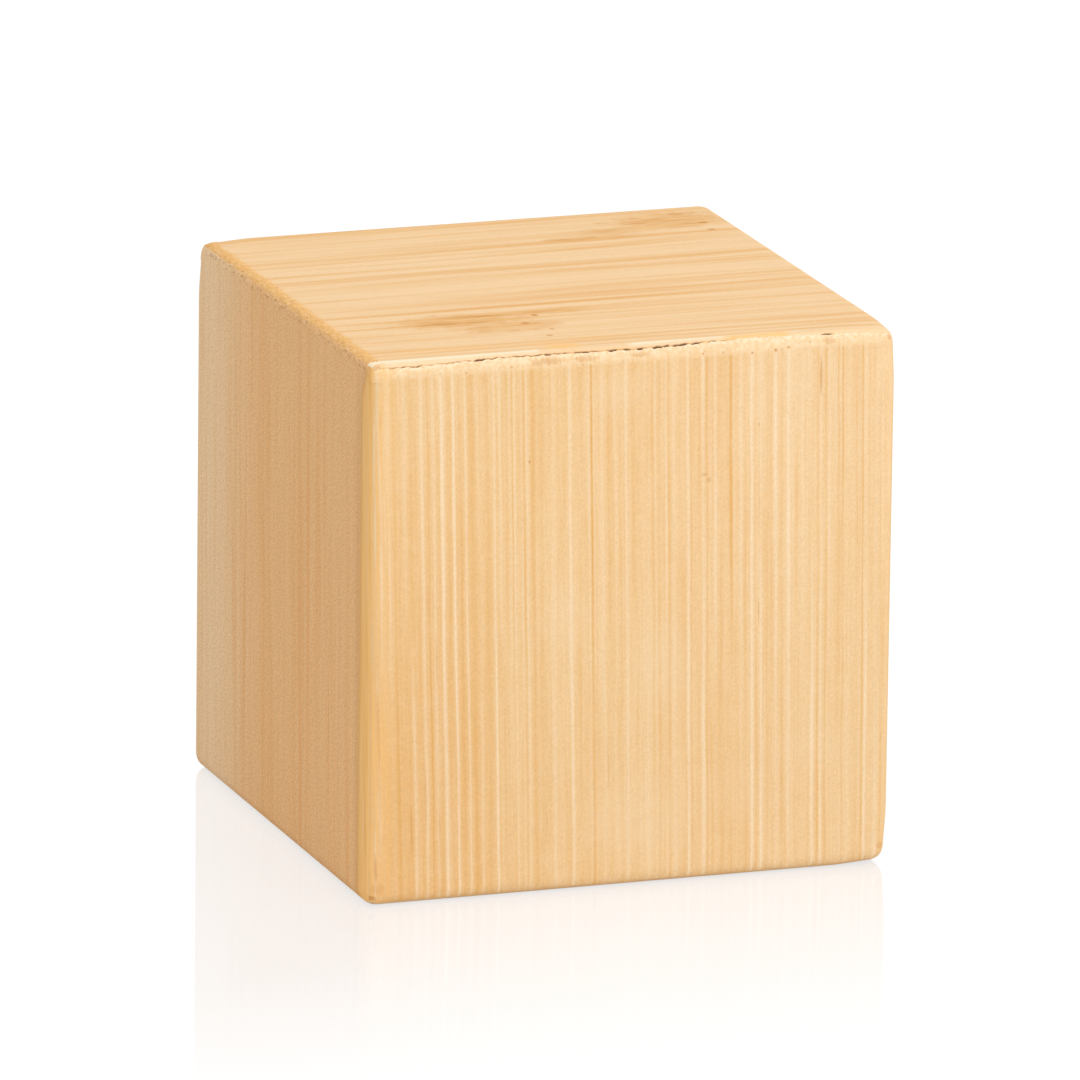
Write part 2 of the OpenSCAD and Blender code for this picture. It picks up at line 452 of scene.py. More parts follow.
def open_joint(board, sizes):
    """Lets the joint of top and front stray, sinks its gaps and marks how deep each point lies in one."""
    points = points_of(board)
    straight = sizes.side - 2 * sizes.edge_r
    angle, on_round = joint_place(points, "top_board", "front_board", sizes)
    arc = np.abs(angle - math.pi / 4) * sizes.edge_r
    share = points[:, 0] / straight + 0.5
    up = np.array(OUTWARD["top_board"])
    out = np.array(OUTWARD["front_board"])
    stray = np.interp(share, *zip(*JOINT_STRAY)) * MM
    depth = np.zeros(len(points))
    for middle, length_mm, strength in JOINT_GAPS:
        along = np.abs(share - middle) * straight / (length_mm * MM / 2)
        depth = np.maximum(depth, strength * np.clip(1.3 - along ** 2, 0, 1))
    ragged = np.zeros(len(points))
    rag_per_mm, stray_per_mm, stray_reach = 2.2, 1.5, 0.11 * MM
    for index in np.nonzero(on_round)[0]:
        x = points[index, 0] / MM
        ragged[index] = noise.fractal(Vector((x * rag_per_mm, 3.7, 0.4)), 1.0, 2.0, 3)
        stray[index] += stray_reach * noise.fractal(Vector((x * stray_per_mm, 8.1, 2.2)), 0.7, 2.0, 4)
    ends = np.clip((0.52 - np.abs(share - 0.5)) / 0.04, 0, 1)
    fade = np.clip(1 - np.abs(angle - math.pi / 4) / (math.pi / 4), 0, 1)
    slide = np.where(on_round, stray * ends * fade, 0)
    points += slide[:, None] * (np.cos(angle)[:, None] * up - np.sin(angle)[:, None] * out)
    hairline = np.interp(share, *zip(*HAIRLINE))
    depth = np.clip(depth * (1 + 0.7 * ragged) + hairline * (1 + 1.6 * ragged), 0, 1.3)
    width = sizes.gap_half_width * (0.5 + 0.6 * depth)
    sink = np.where(on_round, depth * np.exp(-((arc / width) ** 2)), 0)
    points -= sink[:, None] * (up + out) / math.sqrt(2) * sizes.gap_depth
    move_points(board, points)
    # The depth in a gap drives its brown and its painted shade.
    mark = board.data.attributes.new("split", "FLOAT", "POINT")
    mark.data.foreach_set("value", np.clip(sink, 0, 1))


def fray_joint(board, first, second, sizes):
    """Roughens the cut fibres on both sides of the joint between two boards."""
    points = points_of(board)
    angle, on_round = joint_place(points, first, second, sizes)
    arc = np.abs(angle - math.pi / 4) * sizes.edge_r
    reach, rough_per_mm = 1.1 * MM, 2.4
    inward = -(np.array(OUTWARD[first]) + np.array(OUTWARD[second])) / math.sqrt(2)
    for index in np.nonzero(on_round & (arc < reach))[0]:
        place = Vector(points[index]) / MM
        rough = noise.fractal(place * rough_per_mm, 1.0, 2.0, 3)
        points[index] += inward * sizes.fray * (1 - arc[index] / reach) * (0.35 + rough)
    move_points(board, points)


def finish_board(board, name, material):
    """Shades the board smooth up to its mitres, gives it its finish and puts it in the frame."""
    select_only(board)
    bpy.ops.object.shade_smooth_by_angle(angle=SHARP_ANGLE)
    board.data.materials.clear()
    board.data.materials.append(material)
    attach(board, "root")
    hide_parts(name)


# Node helpers

class NodeSheet:
    """Adds nodes to one tree and links them as they come."""

    def __init__(self, tree):
        self.tree = tree

    def add(self, kind, inputs=None, **values):
        node = self.tree.nodes.new(kind)
        for key, value in values.items():
            setattr(node, key, value)
        self.feed_all(node.inputs, inputs or {})
        return node

    def feed_all(self, sockets, values):
        for key, value in values.items():
            self.feed(sockets[key], value)

    def feed(self, socket, value):
        if isinstance(value, bpy.types.NodeSocket):
            self.tree.links.new(value, socket)
        else:
            socket.default_value = value

    def math(self, operation, first, second=0.0, third=0.0, clamp=False):
        inputs = {0: first, 1: second, 2: third}
        return self.add("ShaderNodeMath", inputs, operation=operation, use_clamp=clamp).outputs[0]

    def times(self, first, second):
        return self.math("MULTIPLY", first, second)

    def smooth(self, value, low, high, to_low=0.0, to_high=1.0):
        node = self.add(
            "ShaderNodeMapRange",
            {"Value": value, "From Min": low, "From Max": high, "To Min": to_low, "To Max": to_high},
            interpolation_type="SMOOTHSTEP")
        return node.outputs["Result"]

    # A mix node has its factor at 0, two floats at 2 and 3, and two colours at 6 and 7

    def mix(self, factor, first, second, blend="MIX"):
        inputs = {0: factor, 6: first, 7: second}
        return self.add("ShaderNodeMix", inputs, data_type="RGBA", blend_type=blend).outputs[2]

    def blend(self, factor, first, second):
        inputs = {0: factor, 2: first, 3: second}
        return self.add("ShaderNodeMix", inputs, data_type="FLOAT").outputs[0]

    def band(self, value, start, full, last, end):
        return self.times(self.smooth(value, start, full), self.smooth(value, end, last))

    def stretch(self, vector, scale):
        node = self.add("ShaderNodeVectorMath", {0: vector, 1: scale}, operation="MULTIPLY")
        return node.outputs[0]

    def noise(self, vector, detail=2.0, roughness=0.5):
        node = self.add(
            "ShaderNodeTexNoise",
            {"Vector": vector, "Scale": 1.0, "Detail": detail, "Roughness": roughness})
        return node.outputs["Fac"]

    def ramp(self, value, stops):
        node = self.add("ShaderNodeValToRGB", {"Fac": value})
        elements = node.color_ramp.elements
        while len(elements) < len(stops):
            elements.new(1.0)
        for element, (place, tone) in zip(elements, stops):
            element.position = place
            element.color = (*tone, 1.0)
        return node.outputs["Color"]


def new_group(name, inputs, outputs):
    """An empty shader node group with named sockets."""
    tree = bpy.data.node_groups.new(name, "ShaderNodeTree")
    for label, kind in inputs:
        tree.interface.new_socket(label, in_out="INPUT", socket_type=kind)
    for label, kind in outputs:
        tree.interface.new_socket(label, in_out="OUTPUT", socket_type=kind)
    sheet = NodeSheet(tree)
    entry = tree.nodes.new("NodeGroupInput")
    leave = tree.nodes.new("NodeGroupOutput")
    return tree, sheet, entry.outputs, leave.inputs


VALUE, VECTOR = "NodeSocketFloat", "NodeSocketVector"


def grain_group():
    """Bamboo grain in board millimetres: the straightened place across the fibres, and their tones."""
    tree, sheet, given, out = new_group(
        "Bamboo grain",
        [("Board", VECTOR), ("Lean First", VALUE), ("Lean Last", VALUE), ("Seed", VALUE)],
        [("Across", VALUE), ("Along", VALUE), ("Fibre", VALUE), ("Strand", VALUE),
         ("Drift", VALUE), ("Life", VALUE), ("Speckle", VALUE), ("Cloud", VALUE), ("Pore", VALUE)])
    across, along, depth = sheet.add("ShaderNodeSeparateXYZ", {0: given["Board"]}).outputs
    lean = sheet.blend(sheet.math("DIVIDE", across, SIDE_MM), given["Lean First"], given["Lean Last"])
    seed = given["Seed"]
    layer = sheet.times(seed, 20.0)
    bend = sheet.add("ShaderNodeCombineXYZ", {0: across, 1: along, 2: layer}).outputs[0]
    wander = sheet.noise(sheet.stretch(bend, (0.12, 0.05, 1.0)))
    shift = sheet.times(lean, sheet.math("DIVIDE", along, SIDE_MM))
    shift = sheet.math("MULTIPLY_ADD", sheet.math("SUBTRACT", wander, 0.5), 0.3, shift)
    straight = sheet.math("SUBTRACT", across, shift)
    place = sheet.add("ShaderNodeCombineXYZ", {
        0: straight,
        1: sheet.math("MULTIPLY_ADD", seed, 37.0, along),
        2: sheet.math("MULTIPLY_ADD", seed, 11.0, depth)}).outputs[0]
    fine_dash = sheet.noise(sheet.stretch(place, (5.0, 0.55, 5.0)), 2.0)
    sheet.feed_all(out, {
        "Across": straight, "Along": along,
        "Fibre": sheet.noise(sheet.stretch(place, (3.4, 0.06, 3.4)), 3.0, 0.6),
        "Strand": sheet.noise(sheet.stretch(place, (1.0, 0.022, 1.0)), 3.0, 0.6),
        "Drift": sheet.noise(sheet.stretch(place, (0.09, 0.02, 0.09))),
        "Life": sheet.noise(sheet.stretch(place, (0.7, 0.045, 0.7))),
        "Speckle": sheet.noise(sheet.stretch(place, (4.2, 3.0, 4.2)), 2.0, 0.75),
        "Cloud": sheet.noise(sheet.stretch(place, (0.55, 0.5, 0.55)), 4.0, 0.65),
        "Pore": sheet.smooth(fine_dash, 0.66, 0.8),
    })
    return tree


def mark_group():
    """One soft oval mark with ragged sides, drawn out along the fibres."""
    tree, sheet, given, out = new_group(
        "Fibre mark",
        [("Across", VALUE), ("Along", VALUE), ("Rag", VALUE), ("Rag Reach", VALUE), ("Centre Across", VALUE),
         ("Centre Along", VALUE), ("Half Width", VALUE), ("Half Length", VALUE), ("Strength", VALUE)],
        [("Mask", VALUE)])
    side = sheet.math("SUBTRACT", given["Across"], given["Centre Across"])
    side = sheet.math("DIVIDE", side, given["Half Width"])
    run = sheet.math("SUBTRACT", given["Along"], given["Centre Along"])
    run = sheet.math("DIVIDE", run, given["Half Length"])
    reach = sheet.math("SQRT", sheet.math("MULTIPLY_ADD", side, side, sheet.times(run, run)))
    reach = sheet.math("MULTIPLY_ADD", sheet.math("SUBTRACT", given["Rag"], 0.5), given["Rag Reach"], reach)
    mask = sheet.smooth(reach, 1.15, 0.4)
    sheet.feed(out["Mask"], sheet.times(mask, given["Strength"]))
    return tree


def cut_end_group():
    """Where the fibres are cut through at the two ends of a board, and the dots of their bundles there."""
    tree, sheet, given, out = new_group(
        "Cut end",
        [("Board", VECTOR), ("Along", VALUE), ("Rag", VALUE), ("Rag Reach", VALUE), ("Length", VALUE),
         ("Round", VALUE)],
        [("Mask", VALUE), ("Dots", VALUE), ("Pith", VALUE), ("Grit", VALUE)])
    far = sheet.math("SUBTRACT", given["Length"], given["Along"])
    end = sheet.math("MINIMUM", given["Along"], far)
    end = sheet.math("MULTIPLY_ADD", sheet.math("SUBTRACT", given["Rag"], 0.5), given["Rag Reach"], end)
    clear = sheet.times(given["Round"], 0.95)
    full = sheet.times(given["Round"], 0.65)
    mask = sheet.smooth(end, clear, full)
    bundles = sheet.add("ShaderNodeTexVoronoi", {
        "Vector": given["Board"], "Scale": 1.5, "Randomness": 1.0}, voronoi_dimensions="3D")
    chance = sheet.add("ShaderNodeSeparateColor", {0: bundles.outputs["Color"]}).outputs[0]
    near = sheet.smooth(bundles.outputs["Distance"], 0.3, 0.1)
    dots = sheet.times(near, sheet.smooth(chance, 0.5, 0.9))
    sheet.feed_all(out, {
        "Mask": mask,
        "Dots": sheet.times(dots, mask),
        "Pith": sheet.noise(sheet.stretch(given["Board"], (1.8, 2.2, 2.2)), 3.0, 0.65),
        "Grit": sheet.noise(sheet.stretch(given["Board"], (5.5, 3.0, 5.5)), 2.0, 0.7),
    })
    return tree


GROUPS = {}


def shared_group(name):
    """A node group of this finish, built the first time that it is asked for."""
    makers = {"grain": grain_group, "mark": mark_group, "cut_end": cut_end_group}
    if name not in GROUPS:
        GROUPS[name] = makers[name]()
    return GROUPS[name]


# Each ramp holds the streaks of one stretch of the board, with room for half a streak at both ends
STRETCH_MM = 5.0
ROOM_MM = 1.0
WINDOW_MM = STRETCH_MM + 2 * ROOM_MM
STOP_GAP = 0.004
NEUTRAL = (0.5, 0.5, 0.5)


def streak_stops(streaks, low):
    """Ramp stops for the streaks of one stretch: red holds the near tone and green the far one."""
    stops = [(0.0, NEUTRAL)]
    for middle, half_width, near_tone, far_tone in streaks:
        if low <= middle < low + STRETCH_MM:
            centre = (middle - low + ROOM_MM) / WINDOW_MM
            reach = half_width / WINDOW_MM
            start = max(centre - reach, stops[-1][0] + STOP_GAP)
            centre = max(centre, start + STOP_GAP)
            tone = (0.5 + 0.5 * near_tone, 0.5 + 0.5 * far_tone, 0.5)
            stops += [(start, NEUTRAL), (centre, tone), (centre + reach, NEUTRAL)]
    return [(min(place, 1.0), tone) for place, tone in stops]


def streak_tone(sheet, across, along, streaks):
    """Sum of the ramps that hold a board's streaks, from near tones to far ones along the fibres."""
    total = None
    change = sheet.smooth(along, 0.3 * SIDE_MM, 0.7 * SIDE_MM)
    low = 0.0
    while low < SIDE_MM:
        share = sheet.math("DIVIDE", sheet.math("SUBTRACT", across, low - ROOM_MM), WINDOW_MM, clamp=True)
        ramp = sheet.ramp(share, streak_stops(streaks, low))
        tones = sheet.add("ShaderNodeSeparateColor", {0: ramp}).outputs
        tone = sheet.math("SUBTRACT", sheet.blend(change, tones[0], tones[1]), 0.5)
        total = tone if total is None else sheet.math("ADD", total, tone)
        low += STRETCH_MM
    return sheet.times(total, 2.0)


def add_marks(sheet, grain, marks, rag="Fibre", rag_reach=0.9):
    """The strongest of a board's marks at each place."""
    total = None
    for across, along, half_width, half_length, strength in marks:
        values = {
            "Across": grain["Across"], "Along": grain["Along"], "Rag": grain[rag], "Rag Reach": rag_reach,
            "Centre Across": across, "Centre Along": along, "Half Width": half_width,
            "Half Length": half_length, "Strength": strength}
        mask = sheet.add("ShaderNodeGroup", values, node_tree=shared_group("mark")).outputs["Mask"]
        total = mask if total is None else sheet.math("MAXIMUM", total, mask)
    return total


def chance_streaks(seed):
    """Streaks for a board that the photograph doesn't show, drawn by chance at the same spacing."""
    draw = random.Random(seed)
    streaks = []
    margin = 1.2
    place = margin
    while place < SIDE_MM - margin:
        tone = draw.choice((1, 1, -1)) * draw.uniform(0.15, 1.0)
        streaks.append((place, draw.uniform(0.14, 0.42), tone, tone * draw.uniform(0.2, 1.0)))
        place += draw.uniform(0.75, 1.5)
    return streaks


# Turn, sign and shift that bring each board's own place to millimetres across, along and into it
HALF_MM = SIDE_MM / 2
QUARTER = math.pi / 2
BOARD_TURN = {
    "front_board": ((QUARTER, 0, 0), (1, 1, 1), (HALF_MM, SIDE_MM, HALF_MM)),
    "back_board": ((QUARTER, 2 * QUARTER, 0), (1, 1, 1), (HALF_MM, SIDE_MM, HALF_MM)),
    "left_board": ((QUARTER, -QUARTER, 0), (1, 1, 1), (HALF_MM, SIDE_MM, HALF_MM)),
    "right_board": ((QUARTER, QUARTER, 0), (1, 1, 1), (HALF_MM, SIDE_MM, HALF_MM)),
    "top_board": ((0, 0, QUARTER), (1, 1, -1), (HALF_MM, HALF_MM, SIDE_MM)),
    "bottom_board": ((0, 0, QUARTER), (1, 1, 1), (HALF_MM, HALF_MM, 0)),
}


class Bamboo:
    """Finish of one board while its nodes are laid: what the dressing of single boards needs."""

    def __init__(self, name, lean, seed, rag_reach=0.5):
        self.sizes, self.finish, _ = settings()
        self.material = bpy.data.materials.new(name + "_finish")
        self.material.use_nodes = True
        self.material.node_tree.nodes.clear()
        self.sheet = NodeSheet(self.material.node_tree)
        place = self.sheet.add("ShaderNodeTexCoord").outputs["Object"]
        turn, sign, shift = BOARD_TURN[name]
        self.board = self.sheet.add("ShaderNodeMapping", {
            "Vector": place, "Location": shift, "Rotation": turn, "Scale": [s / MM for s in sign]}).outputs[0]
        self.across = self.sheet.add("ShaderNodeSeparateXYZ", {0: self.board}).outputs[0]
        self.grain = self.group("grain", {
            "Board": self.board, "Lean First": lean[0], "Lean Last": lean[1], "Seed": seed})
        self.ends = self.group("cut_end", {
            "Board": self.board, "Along": self.grain["Along"], "Rag": self.grain["Fibre"],
            "Rag Reach": rag_reach, "Length": SIDE_MM, "Round": self.sizes.edge_r / MM})
        self.colour = self.tone("base")
        self.height = self.sheet.times(self.grain["Speckle"], 0.5)

    def group(self, name, values):
        """Outputs of a shared group, fed with values by name."""
        return self.sheet.add("ShaderNodeGroup", values, node_tree=shared_group(name)).outputs

    def layer(self, depth):
        """Place across and along the straightened fibres, at one depth."""
        place = {0: self.grain["Across"], 1: self.grain["Along"], 2: depth}
        return self.sheet.add("ShaderNodeCombineXYZ", place).outputs[0]

    def tone(self, name):
        """A colour of the finish."""
        return (*getattr(self.finish, name), 1.0)

    def tint(self, mask, name, share=1.0):
        """Lays a colour of the finish over the board where the mask is."""
        if share != 1.0:
            mask = self.sheet.times(mask, share)
        self.colour = self.sheet.mix(mask, self.colour, self.tone(name))

    def dye(self, name, mask=1.0):
        """Multiplies the board's colour by a tone of the finish."""
        self.colour = self.sheet.mix(mask, self.colour, self.tone(name), blend="MULTIPLY")

    def attribute(self, name):
        """A value that the board's points hold."""
        return self.sheet.add("ShaderNodeAttribute", attribute_name=name).outputs["Fac"]

    def lift(self, value, share):
        """Raises or sinks the fine relief."""
        self.height = self.sheet.math("MULTIPLY_ADD", value, share, self.height)

    def both_ways(self, value, share, high, low):
        """Tints with one colour where the value is over zero and with another where it is under."""
        for gain, name in ((share, high), (-share, low)):
            mask = self.sheet.math("MULTIPLY", value, gain, clamp=True)
            self.colour = self.sheet.mix(mask, self.colour, self.tone(name))

    def shade(self, value, share):
        """Lightens and darkens the colour by a value that lies about zero."""
        level = self.sheet.math("MULTIPLY_ADD", value, share, 1.0)
        grey = self.sheet.add("ShaderNodeCombineColor", {0: level, 1: level, 2: level}).outputs[0]
        self.colour = self.sheet.mix(1.0, self.colour, grey, blend="MULTIPLY")

    def about_zero(self, name):
        """A grain tone moved to lie about zero."""
        return self.sheet.math("SUBTRACT", self.grain[name], 0.5)


def lay_grain(bamboo, streaks, strand=1.0, streak=1.0, fibre=1.0, speckle=1.0, high="pale", low="golden"):
    """Ground, strands, streaks and fibres of a board, each at its own strength."""
    sheet, grain = bamboo.sheet, bamboo.grain
    bamboo.tint(sheet.smooth(grain["Drift"], 0.35, 0.75, 0.0, 0.4), "warm")
    bamboo.both_ways(bamboo.about_zero("Strand"), 1.5 * strand, high, low)
    life = sheet.smooth(grain["Life"], 0.2, 0.6, 0.55, 1.0)
    tone = sheet.times(streak_tone(sheet, grain["Across"], grain["Along"], streaks), life)
    bamboo.both_ways(tone, streak, high, low)
    bamboo.both_ways(bamboo.about_zero("Fibre"), 0.8 * fibre, high, low)
    bamboo.shade(bamboo.about_zero("Speckle"), 0.2 * speckle)
    bamboo.tint(grain["Pore"], "brown", 0.2)
    bamboo.lift(tone, -0.5)
    bamboo.lift(bamboo.about_zero("Fibre"), 0.9)
    bamboo.lift(grain["Pore"], -0.5)


def lay_bands(bamboo, share):
    """Broad soft bands along the fibres."""
    sheet = bamboo.sheet
    bands = sheet.noise(sheet.stretch(bamboo.layer(7.0), (0.62, 0.016, 1.0)), 2.0, 0.65)
    bamboo.both_ways(sheet.math("SUBTRACT", bands, 0.5), share, "pale", "warm")


def lay_ends(bamboo, ground="base", light="pale", dots=0.5, grit=0.15, share=0.6, where=None):
    """Cut fibres at the ends of a board, or at one of them."""
    sheet, ends = bamboo.sheet, bamboo.ends
    mask, specks = ends["Mask"], ends["Dots"]
    if where is not None:
        mask = sheet.times(mask, where)
        specks = sheet.times(specks, where)
    end_tone = sheet.mix(sheet.smooth(ends["Pith"], 0.25, 0.75), bamboo.tone(ground), bamboo.tone(light))
    bamboo.colour = sheet.mix(sheet.times(mask, share), bamboo.colour, end_tone)
    bamboo.shade(sheet.times(sheet.math("SUBTRACT", ends["Grit"], 0.5), mask), grit)
    bamboo.tint(specks, "brown", dots)
    bamboo.lift(sheet.times(ends["Grit"], mask), 1.0)


def lay_split(bamboo, run):
    """Draws the broken line of the open joint, and lays brown with painted shade over what lies inside its
    gaps, more the deeper it sinks.
    """
    sheet, ends = bamboo.sheet, bamboo.ends
    seam = bamboo.attribute("front_seam")
    line = sheet.times(sheet.smooth(seam, 0.13, 0.03), sheet.smooth(ends["Grit"], 0.4, 0.58))
    bamboo.tint(sheet.times(line, run), "node", 0.6)
    # Brown of the gaps, partly painted shade that deepens with their depth.
    bamboo.tint(sheet.smooth(bamboo.attribute("split"), 0.12, 0.7), "split", 0.9)


def lay_nodes(bamboo, places):
    """Culm nodes: short brown dashes that gather in soft patches."""
    sheet = bamboo.sheet
    patch = add_marks(sheet, bamboo.grain, places, "Cloud", 1.2)
    dashes = sheet.noise(sheet.stretch(bamboo.layer(0.0), (1.3, 0.17, 1.0)), 3.0, 0.6)
    mask = sheet.times(patch, sheet.smooth(dashes, 0.42, 0.68))
    bamboo.tint(patch, "warm", 0.7)
    bamboo.tint(mask, "node", 0.75)
    bamboo.lift(mask, -0.6)


# Depth of the fine relief of the fibres
RELIEF_DEPTH = 0.03 * MM


def lay_surface(bamboo, relief=0.4):
    """Joins colour, roughness and relief into the board's surface."""
    sheet = bamboo.sheet
    roughness = sheet.math("MULTIPLY_ADD", bamboo.about_zero("Fibre"), 0.15, bamboo.finish.roughness)
    roughness = sheet.math("MULTIPLY_ADD", bamboo.ends["Mask"], 0.1, roughness, clamp=True)
    bump = sheet.add("ShaderNodeBump", {
        "Strength": relief, "Distance": RELIEF_DEPTH, "Height": bamboo.height})
    shader = sheet.add("ShaderNodeBsdfPrincipled", {
        "Base Color": bamboo.colour, "Roughness": roughness, "Normal": bump.outputs[0],
        "Specular IOR Level": bamboo.finish.specular})
    sheet.add("ShaderNodeOutputMaterial", {"Surface": shader.outputs[0]})
    return bamboo.material


# Finishes of single boards, with places in board millimetres and strengths as shares

def front_finish():
    """Front board: pale streaks, cracks and cloudy patches, a golden left edge and the open joint."""
    bamboo = Bamboo("front_board", (1.8, 0.7), 1.0)
    sheet, grain, ends = bamboo.sheet, bamboo.grain, bamboo.ends
    across, along = grain["Across"], grain["Along"]
    low_left = sheet.times(sheet.smooth(across, 24.0, 0.0), sheet.smooth(along, 5.0, 58.0))
    bamboo.tint(low_left, "warm", 0.65)
    high_right = sheet.times(sheet.smooth(across, 18.0, 46.0), sheet.smooth(along, 40.0, 3.0, 0.4, 1.0))
    bamboo.tint(high_right, "pale", 0.35)
    lay_grain(bamboo, FRONT_STREAKS, strand=0.45, streak=1.1, fibre=1.3, speckle=1.5)
    bamboo.tint(add_marks(sheet, grain, FRONT_PATCHES, "Cloud", 3.2), "pale", 0.45)
    bamboo.both_ways(bamboo.about_zero("Cloud"), 0.6, "pale", "warm")
    lay_ends(bamboo, dots=0.4, where=sheet.smooth(along, 31.0, 29.0))
    # Painted shade: the front board grows darker towards the bottom, where its light falls off.
    bamboo.shade(sheet.smooth(along, 8.0, 60.0), -0.05)
    torn = sheet.smooth(along, 1.7, 0.6)
    bamboo.tint(torn, "cream", 0.12)
    bamboo.tint(sheet.times(torn, sheet.smooth(ends["Pith"], 0.48, 0.62)), "cream", 0.4)
    by_seam = sheet.smooth(bamboo.attribute("front_seam"), 0.5, 0.2)
    lip = sheet.times(by_seam, sheet.smooth(ends["Pith"], 0.42, 0.52))
    bamboo.tint(lip, "cream", 0.55)
    bamboo.tint(sheet.times(torn, sheet.smooth(ends["Grit"], 0.58, 0.75)), "node", 0.6)
    near_edge = sheet.smooth(bamboo.across, 3.6, 0.4)
    gold_lines = sheet.smooth(grain["Fibre"], 0.56, 0.4, 0.2, 1.0)
    bamboo.tint(sheet.times(near_edge, gold_lines), "gold_edge", 0.7)
    bamboo.tint(sheet.times(near_edge, sheet.smooth(grain["Fibre"], 0.55, 0.68)), "pale", 0.5)
    bamboo.tint(add_marks(sheet, grain, FRONT_GOLD), "node", 0.5)
    bamboo.tint(add_marks(sheet, grain, FRONT_SMUDGES, rag_reach=1.6), "node", 0.75)
    cracks = add_marks(sheet, grain, FRONT_CRACKS)
    bamboo.tint(cracks, "node", 0.75)
    bamboo.lift(cracks, -0.15)
    lay_split(bamboo, sheet.smooth(across, 42.0, 34.0, 0.3, 1.0))
    return lay_surface(bamboo)


def top_finish():
    """Top board: dense lines, two culm nodes, cream fibres along the open joint that also stand in as a
    painted highlight on that round-over, and a golden left end.
    """
    bamboo = Bamboo("top_board", (-1.5, -0.1), 2.0, rag_reach=2.0)
    sheet, grain, ends = bamboo.sheet, bamboo.grain, bamboo.ends
    across, along = grain["Across"], grain["Along"]
    bamboo.tint(sheet.smooth(across, 48.0, 58.0), "warm", 0.6)
    lay_grain(bamboo, TOP_STREAKS, strand=0.9, streak=0.9, fibre=1.6, low="warm")
    lay_bands(bamboo, 3.0)
    bamboo.dye("top_tone")
    bamboo.tint(add_marks(sheet, grain, TOP_FLECKS), "pale", 0.6)
    gold = add_marks(sheet, grain, TOP_GOLD, rag_reach=2.4)
    gold = sheet.times(gold, sheet.smooth(grain["Fibre"], 0.3, 0.6, 0.4, 1.0))
    bamboo.tint(gold, "gold_edge", 0.8)
    lay_nodes(bamboo, TOP_NODES)
    dots = add_marks(sheet, grain, TOP_DOTS)
    bamboo.tint(dots, "node")
    left_end = sheet.smooth(along, 31.0, 29.0)
    lay_ends(bamboo, ground="golden", light="gold_edge", dots=0.6, grit=1.3, share=0.75, where=left_end)
    cut = sheet.smooth(bamboo.attribute("left_seam"), 1.2, 0.5)
    bamboo.tint(sheet.times(cut, sheet.smooth(ends["Pith"], 0.56, 0.68)), "pale", 0.6)
    bamboo.tint(sheet.times(cut, sheet.smooth(ends["Grit"], 0.54, 0.64)), "brown", 0.5)
    stray = sheet.math("MULTIPLY_ADD", sheet.math("SUBTRACT", grain["Life"], 0.5), 0.9, across)
    # Cream of bare fibres on the front round-over, partly a painted highlight along that edge.
    bare_and_highlight = sheet.times(sheet.smooth(stray, 57.9, 58.2), sheet.smooth(stray, 59.1, 58.75, 0.25, 1.0))
    patch = sheet.band(along, 19.0, 19.8, 29.0, 30.5)
    bare_and_highlight = sheet.times(bare_and_highlight, sheet.math("MULTIPLY_ADD", patch, -0.85, 1.0))
    bare_and_highlight = sheet.times(bare_and_highlight, sheet.smooth(along, 51.0, 44.0, 0.3, 1.0))
    bamboo.tint(bare_and_highlight, "cream")
    strip = sheet.band(along, 39.5, 41.5, 47.0, 48.5)
    bamboo.tint(sheet.times(strip, sheet.smooth(stray, 58.0, 58.3)), "gold_edge", 0.7)
    lay_split(bamboo, sheet.smooth(along, 42.0, 34.0, 0.3, 1.0))
    return lay_surface(bamboo, relief=0.15)


def left_finish():
    """Left board: matt, speckled and golden along the front edge, with painted shade, a painted sheen towards
    the back, a painted highlight on the back rim and a painted shadow by the front edge.
    """
    bamboo = Bamboo("left_board", (1.6, 1.2), 3.0)
    sheet, grain, ends = bamboo.sheet, bamboo.grain, bamboo.ends
    across, along = grain["Across"], grain["Along"]
    bamboo.tint(sheet.smooth(across, 2.0, 26.0, 0.3, 0.45), "gold_edge")
    # Painted sheen: the board pales towards the back.
    bamboo.tint(sheet.smooth(across, 24.0, 2.0), "pale", 0.4)
    lay_grain(bamboo, LEFT_STREAKS, strand=1.2, streak=2.0, fibre=1.6, speckle=1.5, low="warm")
    lay_bands(bamboo, 1.7)
    nap = sheet.noise(sheet.stretch(bamboo.layer(0.0), (2.0, 5.0, 1.0)), 1.0)
    bamboo.shade(sheet.math("SUBTRACT", nap, 0.5), 0.5)
    # Painted shade: this dye darkens the left board against the front one, and less towards the back.
    bamboo.dye("left_tone_and_shade", sheet.smooth(across, 2.0, 24.0, 0.35, 1.0))
    # Painted highlight along the back rim of the board.
    bamboo.tint(sheet.smooth(bamboo.across, 2.6, 0.6), "pale", 0.5)
    torn = sheet.smooth(bamboo.attribute("left_seam"), 1.0, 0.35)
    bamboo.tint(sheet.times(torn, sheet.smooth(ends["Pith"], 0.52, 0.62)), "brown", 0.45)
    edge = sheet.math("MULTIPLY_ADD", grain["Fibre"], 0.5, bamboo.across)
    edge = sheet.math("SUBTRACT", edge, sheet.smooth(along, 4.5, 0.0, 0.0, 1.6))
    shadow = sheet.band(edge, 54.5, 57.2, 57.4, 57.7)
    bamboo.shade(shadow, -0.07)
    band = sheet.smooth(edge, 57.4, 58.0)
    bamboo.tint(band, "gold_edge")
    rim = sheet.band(edge, 56.9, 57.4, 57.7, 58.2)
    bamboo.tint(rim, "golden", 0.5)
    lines = sheet.times(band, sheet.smooth(grain["Fibre"], 0.5, 0.7))
    bamboo.tint(lines, "pale", 0.35)
    bamboo.tint(sheet.times(band, sheet.smooth(grain["Fibre"], 0.46, 0.36)), "golden", 0.4)
    return lay_surface(bamboo)


